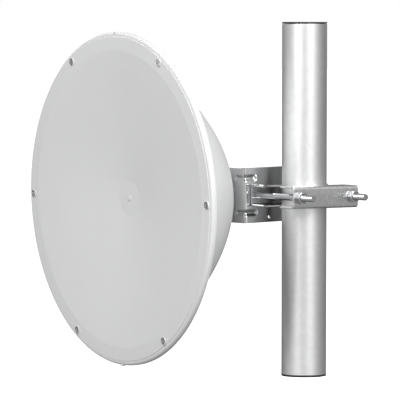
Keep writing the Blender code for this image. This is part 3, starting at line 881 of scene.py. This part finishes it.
def bowl_curve(inset):
    """The parabola from its seat to its mouth, moved in along its normal by the inset."""
    seat = sqrt(4 * BOWL_FOCUS * (BOWL_DEPTH - SEAT_DEPTH))
    mouth = sqrt(4 * BOWL_FOCUS * (BOWL_DEPTH - RIM_BACK))
    radius = np.linspace(seat, mouth, BOWL_STEPS)
    depth = BOWL_DEPTH - radius**2 / (4 * BOWL_FOCUS)
    slope = radius / (2 * BOWL_FOCUS)
    length = np.sqrt(1 + slope**2)
    return np.stack([radius - inset * slope / length, depth - inset / length], axis=1)


def bowl_profile():
    """Seat, outside, rim, then inside back to the seat's hole, with fillets at seat and rim.

    The points next to each curve's ends are left out, to make room for the fillets.
    """
    outside, inside = bowl_curve(0), bowl_curve(BOWL_SHEET)
    rim_front = RIM_BACK - BOWL_SHEET
    seat_front = SEAT_DEPTH - BOWL_SHEET
    plain = outside[SEAT_ROOM:-RIM_ROOM]
    corners = [(SEAT_HOLE, SEAT_DEPTH), outside[0], *plain, outside[-1]]
    corners += [(RIM_RADIUS, RIM_BACK), (RIM_RADIUS, rim_front), (inside[-1, 0], rim_front)]
    corners += [*inside[SEAT_ROOM:-RIM_ROOM][::-1]]
    corners += [(inside[0, 0], seat_front), (SEAT_HOLE, seat_front)]
    sharp = [0] * len(plain)
    fillets = [0, SEAT_FILLET, *sharp, RIM_FILLET, RIM_EDGE, RIM_EDGE, RIM_FILLET, *sharp]
    return rounded(corners, [*fillets, SEAT_FILLET, 0], closed=True)


bowl = turned("reflector_dish_skin", bowl_profile(), ROUND_STEPS, dish_place)
seat_low = SEAT_DEPTH - 3 * BOWL_SHEET
seat_high = SEAT_DEPTH + 2 * BOWL_SHEET
cutters = [drill(x, y, STUD_RADIUS + GAP, seat_low, seat_high, dish_place) for x, y in stud_places]
SCREW_CIRCLE = 0.1893
SCREW_COUNT = 6
SCREW_HOLE = 0.0024
SCREW_LENGTH = 0.011
screw_turns = np.arange(SCREW_COUNT) * 2 * pi / SCREW_COUNT
screw_places = SCREW_CIRCLE * np.stack([np.cos(screw_turns), np.sin(screw_turns)], axis=1)
cutters += [drill(x, y, SCREW_HOLE, 0, SCREW_LENGTH, dish_place) for x, y in screw_places]
boolean(bowl, cutters)
dress(bowl, bowl_paint, "bowl_paint", "antenna", "reflector_dish")

# %% [markdown]
# ## The cover
#
# A moulded cover closes the dish: a very flat hollow cone that runs in to a small disc with a nub,
# and round it a flat band for the screws, a step and a rounded edge. Six raised bosses take the
# screws. They are round about their own axes, so a Boolean joins them on.

# %% Mould the cover
DISH_RADIUS = 0.200
COVER_SHEET = 0.002
COVER_SHOULDER = 0.1785
COVER_BAND = 0.1945
COVER_STEP = 0.0007
COVER_ROUND = 0.0038
COVER_LAND = 0.0043
COVER_LAND_INNER = 0.1765
COVER_SKIRT = 0.0069
COVER_DISC = 0.0214
COVER_DISC_DEPTH = 0.0179
COVER_NUB = 0.0032
BOSS_RADIUS = 0.0050
BOSS_BORE = 0.0044
BOSS_HEIGHT = 0.0013
BOSS_ROOT = 0.001
BOSS_EDGE = 0.0003
BOSS_FLOOR = 0.0006
DRAIN_RADIUS = 0.0024
DRAIN_HEIGHT = 0.0012
DRAIN_DEPTH = 0.0034


def cover_profile():
    """From the nub out over the face, band, step and edge, then back inside to the axis."""
    nub_top = COVER_DISC_DEPTH - COVER_NUB / 2
    inside = DISH_RADIUS - COVER_SHEET
    step = COVER_LAND - COVER_SHEET
    back = COVER_DISC_DEPTH + COVER_SHEET
    corners = [(0, nub_top), (COVER_NUB, nub_top + COVER_NUB / 8), (COVER_NUB, COVER_DISC_DEPTH)]
    corners += [(COVER_DISC, COVER_DISC_DEPTH), (COVER_SHOULDER, 0), (COVER_BAND, 0)]
    corners += [(COVER_BAND + COVER_STEP / 2, COVER_STEP), (DISH_RADIUS, COVER_STEP)]
    corners += [(DISH_RADIUS, COVER_SKIRT), (inside, COVER_SKIRT), (inside, COVER_LAND)]
    corners += [(COVER_LAND_INNER, COVER_LAND), (COVER_LAND_INNER - step, COVER_SHEET + GAP)]
    corners += [(COVER_DISC, back), (0, back)]
    fillets = [0, 0.001, 0.0004, 0.002, 0.004, 0.0004, 0.0002, COVER_ROUND]
    fillets += [0.0003, 0.0003, 0, 0.0004, 0.0008, 0, 0]
    return rounded(corners, fillets, steps=8)


cover = turned("radome_cover_skin", cover_profile(), ROUND_STEPS, dish_place)
boss_profile = rounded(ring(0, BOSS_RADIUS, BOSS_ROOT, -BOSS_HEIGHT), [0, 0, BOSS_EDGE, 0])
bosses = [
    turned("boss_joiner", boss_profile, 48, dish_place @ Matrix.Translation((x, y, 0)))
    for x, y in screw_places
]
boolean(cover, bosses, "UNION")
cutters = []
for x, y in screw_places:
    cutters.append(drill(x, y, BOSS_BORE, -2 * BOSS_HEIGHT, BOSS_FLOOR, dish_place, 48))
    cutters.append(drill(x, y, SCREW_HOLE, -SCREW_LENGTH, SCREW_LENGTH, dish_place))
drain_foot = DISH_RADIUS - COVER_SHEET + GAP / 3
drain_top = DISH_RADIUS + DRAIN_HEIGHT
drain_places = {}
for node, side in (("drain_plug_top", 1), ("drain_plug_bottom", -1)):
    radial = Matrix.Translation((0, 0, DRAIN_DEPTH)) @ Matrix.Rotation(side * pi / 2, 4, "X")
    drain_places[node] = dish_place @ radial
    low = drain_foot - GAP
    high = drain_top + DRAIN_HEIGHT
    cutters.append(drill(0, 0, DRAIN_RADIUS + GAP, low, high, drain_places[node]))
boolean(cover, cutters)
dress(cover, cover_plastic, "cover_plastic", "antenna", "radome_cover")

# %% [markdown]
# ## The cover's screws and drain plugs
#
# Small pan-head screws with a cross recess hold the cover. The head's surface sinks where a place
# lies in either arm of the cross. The two drain plugs, at the rim's top and bottom, are turned.

# %% Turn the screws and plugs
SCREW_HEAD = 0.0040
SCREW_HEAD_HEIGHT = 0.0014
SCREW_RADIUS = 0.002
SCREW_PITCH = 0.0007
SCREW_THREAD = 0.0003
SCREW_NECK = 0.001
SCREW_FLAT = 0.6
EDGE_START = 0.62
SCREW_TURN = 0.7
CROSS_HALF_WIDTH = 0.0005
CROSS_HALF_LENGTH = 0.0019
CROSS_DEPTH = 0.0009
CROSS_SLOPE = 0.0004


def cross_depth(x, y):
    """How deep the cross goes at a place: full inside both its width and length, sloped beside."""
    narrow = np.minimum(np.abs(x), np.abs(y))
    wide = np.maximum(np.abs(x), np.abs(y))
    in_width = np.clip((CROSS_HALF_WIDTH + CROSS_SLOPE / 2 - narrow) / CROSS_SLOPE, 0, 1)
    in_length = np.clip((CROSS_HALF_LENGTH + CROSS_SLOPE / 2 - wide) / CROSS_SLOPE, 0, 1)
    return CROSS_DEPTH * in_width * in_length


def make_cover_screw(name, place):
    """A pan head with its cross, then the shank, whose thread is cut along a helix."""
    seat = BOSS_FLOOR - GAP
    crown = seat - SCREW_HEAD_HEIGHT
    neck = seat + SCREW_NECK
    flat = np.linspace(0, SCREW_HEAD * SCREW_FLAT, 22)
    face = np.stack([flat, np.full_like(flat, crown)], axis=1)
    side = [(SCREW_HEAD, crown), (SCREW_HEAD, seat), (SCREW_RADIUS, seat), (SCREW_RADIUS, neck)]
    edge = rounded([(SCREW_HEAD * EDGE_START, crown), *side], [0, 0.0006, 0.0001, 0, 0])

    def sink_cross(radius, height, angle):
        depth = cross_depth(radius * np.cos(angle), radius * np.sin(angle))
        return radius, height + depth * (height < crown + TOUCHING)

    rod = (neck, SCREW_LENGTH, SCREW_RADIUS, SCREW_PITCH, SCREW_THREAD)
    return threaded(name, np.concatenate([face, edge]), rod, place, sink_cross)


for number, (x, y) in enumerate(screw_places, 1):
    turn = Matrix.Rotation(number * SCREW_TURN, 4, "Z")
    place = dish_place @ Matrix.Translation((x, y, 0)) @ turn
    screw = make_cover_screw(f"cover_screw_{number}_skin", place)
    dress(screw, stainless, "stainless", "antenna", f"cover_screw_{number}")

drain_outline = ring(0, DRAIN_RADIUS, drain_foot, drain_top)
drain_profile = rounded(drain_outline, [0, 0.0003, 0.0007, 0])
for node, place in drain_places.items():
    plug = turned(node + "_skin", drain_profile, 48, place)
    dress(plug, cover_plastic, "cover_plastic", "antenna", node)

# %% [markdown]
# ## The seat's bolts and nuts
#
# Four bolts come out of the dish's seat, through the bracket's flange, and take nuts. Their heads
# are inside the closed dish, and their threads show behind it.

# %% Turn the seat's bolts and nuts
STUD_HEAD = 0.0065
STUD_FLATS = 0.010
STUD_PITCH = 0.001
STUD_NECK = 0.004
STUD_STICKS_OUT = 0.0085
STUD_NUT_HEIGHT = 0.005
HEAD_THICK = 0.003
seat_inside = SEAT_DEPTH - BOWL_SHEET - GAP
head_front = seat_inside - HEAD_THICK
flange_back = SEAT_DEPTH + GAP + PLATE
stud_tip = flange_back + STUD_STICKS_OUT
nut_low = flange_back + GAP
nut_high = nut_low + STUD_NUT_HEIGHT


def make_stud(name, place):
    """A round head inside the dish, a plain neck through the sheets and a threaded end."""
    thread_start = seat_inside + STUD_NECK
    head = flanged(STUD_HEAD, STUD_RADIUS, head_front, seat_inside, thread_start)[:-1]
    profile = rounded(head, [0, 0.0022, 0.0004, 0, 0])
    rod = (thread_start, stud_tip, STUD_RADIUS, STUD_PITCH, THREAD_DEPTH)
    return threaded(name, profile, rod, place, rows_a_turn=8)


for number, (x, y) in enumerate(stud_places, 1):
    place = dish_place @ Matrix.Translation((x, y, 0))
    stud = make_stud(f"seat_bolt_{number}_skin", place)
    dress(stud, bright_zinc, "zinc_plate", "antenna", f"seat_bolt_{number}")
    name = f"seat_nut_{number}_skin"
    nut = make_nut(name, nut_low, nut_high, STUD_FLATS, STUD_RADIUS + GAP, place)
    dress(nut, bright_zinc, "zinc_plate", "antenna", f"seat_nut_{number}")

# %% [markdown]
# ## The feed's hub and socket
#
# The feed is held in the seat's hole by a turned hub, and its cable socket points backwards. The
# photograph shows neither, so they are plain and of the usual sizes. The socket has a hexagon foot,
# a threaded barrel, and a pin in its bore.

# %% Turn the hub, the socket and its pin
HUB_FLANGE = 0.017
HUB_NECK = 0.0118
HUB_BACK = 0.1441
SOCKET_THREAD = 0.0079
SOCKET_BORE = 0.0043
SOCKET_LENGTH = 0.017
SOCKET_FLATS = 0.018
SOCKET_FOOT = 0.003
SOCKET_PITCH = 0.00106
SOCKET_GROOVE = 0.0005
THREAD_END = 0.0008
NOSE_SLOPE = 0.0007
MOUTH_SLOPE = 0.0003
BORE_STEP = 0.006
BORE_FLOOR = 0.001
PIN_RADIUS = 0.0015
PIN_TIP = 0.0006
PIN_FOOT = 0.0015
PIN_BACK = 0.003

hub_outline = flanged(HUB_FLANGE, HUB_NECK, head_front, seat_inside, HUB_BACK)
hub_profile = rounded(hub_outline, [0, 0.0006, 0.0004, 0, 0.0012, 0])
hub = turned("feed_hub_skin", hub_profile, 96, dish_place)
dress(hub, turned_aluminium, "turned_aluminium", "antenna", "feed_hub")

socket_base = HUB_BACK + GAP
socket_nose = socket_base + SOCKET_LENGTH
barrel_start = socket_base + SOCKET_FOOT


def socket_profile():
    """Foot, barrel and bore as a loop: the foot is turned past its hexagon's corners."""
    foot_low = shoulder(socket_base, socket_base + SOCKET_FOOT, SOCKET_FLATS)
    foot_high = shoulder(barrel_start, socket_base, SOCKET_FLATS)[::-1]
    heights = np.arange(barrel_start, socket_nose - THREAD_END, SOCKET_PITCH / 8)
    barrel = np.stack([np.full_like(heights, SOCKET_THREAD), heights], axis=1)
    nose = [(SOCKET_THREAD, socket_nose - NOSE_SLOPE), (SOCKET_THREAD - NOSE_SLOPE, socket_nose)]
    bore = [(SOCKET_BORE + MOUTH_SLOPE, socket_nose), (SOCKET_BORE, socket_nose - MOUTH_SLOPE)]
    step, floor, hole = socket_base + BORE_STEP, socket_base + BORE_FLOOR, PIN_RADIUS + GAP
    bore += [(SOCKET_BORE, step), (hole, step), (hole, floor), (0, floor)]
    return np.concatenate([[(0, socket_base)], foot_low, foot_high, barrel, nose, bore])


radius, height, angle = spin(socket_profile(), 72)
on_foot = height <= barrel_start + TOUCHING
radius = np.where(on_foot, np.minimum(radius, hexagon(angle, SOCKET_FLATS)), radius)
on_barrel = np.abs(radius - SOCKET_THREAD) < TOUCHING
fade = np.clip((height - barrel_start) / SOCKET_PITCH, 0, 1)
fade *= np.clip((socket_nose - height) / SOCKET_PITCH, 0, 1)
groove = SOCKET_GROOVE * thread(height, angle, SOCKET_PITCH) * fade
radius = np.where(on_barrel, radius - groove, radius)
socket = round_piece("feed_socket_skin", radius, height, angle, dish_place)
dress(socket, plated_brass, "plated_brass", "antenna", "feed_socket")

pin_low = socket_base + PIN_FOOT
pin_high = socket_nose - PIN_BACK
pin_profile = rounded(ring(0, PIN_RADIUS, pin_low, pin_high), [0, 0, PIN_TIP, 0])
pin = turned("feed_pin_skin", pin_profile, 36, dish_place)
dress(pin, plated_brass, "plated_brass", "antenna", "feed_pin")

# %% [markdown]
# ## Studio
#
# The photograph was taken in soft white light before a white ground. Three soft boxes light the
# antenna, two from its right and one from its front. The rest of the room glows in soft round
# patches, least from behind on the left, so that the metal has something dark to mirror. A patch
# falls off as an exponential of the cosine of the angle from its middle. Three smaller patches are
# cards, which leave bright lines on the metal. The camera sees plain white and a pale floor.

# %% Lay the floor
FLOOR_REACH = 60.0
FLOOR_GLOW = 0.8
floor_mesh = bpy.data.meshes.new("floor")
floor_corners = np.array([(-1, -1, 0), (1, -1, 0), (1, 1, 0), (-1, 1, 0)]) * FLOOR_REACH
floor_mesh.from_pydata(floor_corners.tolist(), [], [(0, 1, 2, 3)])
floor = link_object("floor", floor_mesh)
floor_finish = Finish("floor_paper", (0.9, 0.9, 0.9), 0.9)
set_inputs(floor_finish.shader, Specular_IOR_Level=0.0, Emission_Color=(1, 1, 1, 1))
set_inputs(floor_finish.shader, Emission_Strength=FLOOR_GLOW)
floor_mesh.materials.append(floor_finish.material)
floor.visible_diffuse = False
floor.visible_glossy = False
floor.visible_shadow = False


# %% Paint the room's glow on the world
def heading(azimuth, elevation):
    """A direction: azimuth 0 is the -Y side, 90 the +X side, and elevation is upwards."""
    turn, rise = radians(azimuth), radians(elevation)
    return Vector((sin(turn) * cos(rise), -cos(turn) * cos(rise), sin(rise)))


PATCH_SHARPNESS = 7.0
CARDS = {
    "left of the camera": (0.5, 30, (20, 0)),
    "right of the camera": (0.5, 30, (88, 0)),
    "left above": (1.6, 20, (-88, 33)),
}
ROOM_GLOW = {
    "front": (0.29, [(-36, 0), (0, 0), (36, 0), (72, 0)]),
    "front low": (0.25, [(-18, -27), (18, -32)]),
    "left": (0.10, [(-72, 0), (-54, 27)]),
    "right": (0.83, [(90, 27)]),
    "right low": (0.19, [(90, -32), (126, -27), (162, -32)]),
    "back above": (0.28, [(126, 32), (162, 58), (-162, 32)]),
    "back": (0.03, [(144, 0), (180, 0), (-144, 0), (-162, -27)]),
    "back left": (0.02, [(-126, 27), (-90, 27), (-108, 0), (-90, -27)]),
    "above": (0.08, [(0, 90), (-126, 58), (-54, 58), (18, 58)]),
    "below": (0.05, [(0, -90), (-18, -58), (54, -58), (126, -58)]),
}
world = bpy.data.worlds.new("studio")
bpy.context.scene.world = world
world.use_nodes = True
nodes = world.node_tree.nodes
links = world.node_tree.links
direction = nodes.new("ShaderNodeTexCoord").outputs["Generated"]


def sum_of(operation, *values):
    """One Math node whose inputs are sockets or plain numbers."""
    node = nodes.new("ShaderNodeMath")
    node.operation = operation
    for socket, value in zip(node.inputs, values):
        if isinstance(value, (int, float)):
            socket.default_value = value
        else:
            links.new(value, socket)
    return node.outputs[0]


patches = list(CARDS.values())
for brightness, places in ROOM_GLOW.values():
    patches += [(brightness, PATCH_SHARPNESS, place) for place in places]
glow = 0.0
for brightness, sharpness, place in patches:
    facing = nodes.new("ShaderNodeVectorMath")
    facing.operation = "DOT_PRODUCT"
    facing.inputs[1].default_value = heading(*place)
    links.new(direction, facing.inputs[0])
    drop = sum_of("MULTIPLY_ADD", facing.outputs["Value"], sharpness, -sharpness)
    glow = sum_of("MULTIPLY_ADD", sum_of("EXPONENT", drop), brightness, glow)
seen = nodes.new("ShaderNodeLightPath").outputs["Is Camera Ray"]
links.new(sum_of("MAXIMUM", glow, seen), nodes["Background"].inputs["Color"])
bpy.context.scene.view_settings.view_transform = "Standard"
print("the room glows in", len(patches), "patches")

# %% Hang the soft boxes
LIGHT_REACH = 2.6
LIGHT_SIZE = 1.2
SOFT_BOXES = {
    "right_box": (90, 35, 34),
    "right_high_box": (100, 50, 17),
    "front_box": (20, 30, 41),
}
for name, (azimuth, elevation, watts) in SOFT_BOXES.items():
    away = heading(azimuth, elevation)
    data = bpy.data.lights.new(name, "AREA")
    data.size = LIGHT_SIZE
    data.energy = watts
    box = link_object(name, data)
    box.location = Vector((0, 0, CLAMP_HEIGHT)) + away * LIGHT_REACH
    box.rotation_euler = away.to_track_quat("Z", "Y").to_euler()
    box.visible_camera = False
    print(name, "gives", watts, "W")
